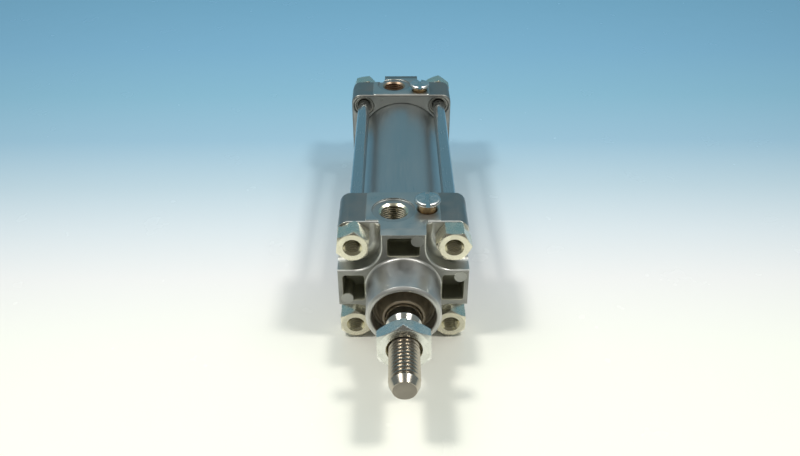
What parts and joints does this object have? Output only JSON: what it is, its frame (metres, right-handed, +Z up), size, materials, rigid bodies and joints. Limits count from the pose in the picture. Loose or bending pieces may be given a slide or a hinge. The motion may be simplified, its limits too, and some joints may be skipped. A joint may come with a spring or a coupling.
{
  "type": "pneumatic cylinder",
  "caption": "Tie-rod pneumatic cylinder with square cast covers, a round barrel, a threaded piston rod with jam nut, air ports and cushion adjusting screws.",
  "frame": {"origin": "centre of the bounding box on the surface the cylinder lies on", "axes": "-Y along the rod, out of the front cover; +Z up through the air ports; +X to the right seen from the rod end"},
  "size_m": [0.0461, 0.1796, 0.0503],
  "materials": {
    "cast_aluminium": "die-cast, satin with machined edges",
    "anodised_tube": "satin anodised",
    "tie_rod_steel": "drawn and plated",
    "zinc_plated_nuts": "zinc plated, turned face",
    "chromed_rod": "ground and hard chromed",
    "zinc_plated_jam_nut": "zinc plated",
    "sintered_bronze": "sintered",
    "dark_polyurethane": "moulded",
    "piston_aluminium": "machined",
    "black_rubber": "moulded",
    "guide_plastic": "moulded",
    "boss_aluminium": "turned",
    "plated_brass": "nickel plated, worn through on the stem"
  },
  "bodies": {
    "cylinder": {"front_cover": "cast_aluminium", "rear_cover": "cast_aluminium", "barrel_tube": "anodised_tube", "rod_bush": "sintered_bronze", "rod_wiper_seal": "dark_polyurethane", "barrel_seal_front": "black_rubber", "barrel_seal_rear": "black_rubber", "cushion_seal_front": "black_rubber", "cushion_seal_rear": "black_rubber", "tie_rod_top_left": "tie_rod_steel", "front_nut_top_left": "zinc_plated_nuts", "rear_nut_top_left": "zinc_plated_nuts", "tie_rod_top_right": "tie_rod_steel", "front_nut_top_right": "zinc_plated_nuts", "rear_nut_top_right": "zinc_plated_nuts", "tie_rod_bottom_left": "tie_rod_steel", "front_nut_bottom_left": "zinc_plated_nuts", "rear_nut_bottom_left": "zinc_plated_nuts", "tie_rod_bottom_right": "tie_rod_steel", "front_nut_bottom_right": "zinc_plated_nuts", "rear_nut_bottom_right": "zinc_plated_nuts"},
    "seal_train": {"piston_seal_front": "black_rubber", "piston_seal_rear": "black_rubber", "piston_guide_ring": "guide_plastic"},
    "rod": {"piston_rod": "chromed_rod", "piston": "piston_aluminium", "cushion_boss_front": "boss_aluminium", "cushion_boss_rear": "boss_aluminium"},
    "jam_nut": {"rod_jam_nut": "zinc_plated_jam_nut"},
    "front_adjuster": {"cushion_screw_front": "plated_brass", "cushion_screw_seal_front": "black_rubber"},
    "rear_adjuster": {"cushion_screw_rear": "plated_brass", "cushion_screw_seal_rear": "black_rubber"}
  },
  "joints": [
    {"name": "rod_slide", "type": "slide", "parent": "cylinder", "child": "seal_train", "axis": [0, -1, 0], "range_m": [0, 0.05]},
    {"name": "rod_turn", "type": "hinge", "parent": "seal_train", "child": "rod", "pos_m": [0, -0.0424, 0.02312], "axis": [0, -1, 0], "continuous": true},
    {"name": "jam_nut_turn", "type": "hinge", "parent": "rod", "child": "jam_nut", "pos_m": [0, -0.0705, 0.02312], "axis": [0, -1, 0], "continuous": true},
    {"name": "front_cushion_turn", "type": "hinge", "parent": "cylinder", "child": "front_adjuster", "pos_m": [0.0084, -0.0272, 0.04562], "axis": [0, 0, 1], "range_deg": [-180, 540]},
    {"name": "rear_cushion_turn", "type": "hinge", "parent": "cylinder", "child": "rear_adjuster", "pos_m": [0.0084, 0.0731, 0.04562], "axis": [0, 0, 1], "range_deg": [-180, 540]}
  ]
}
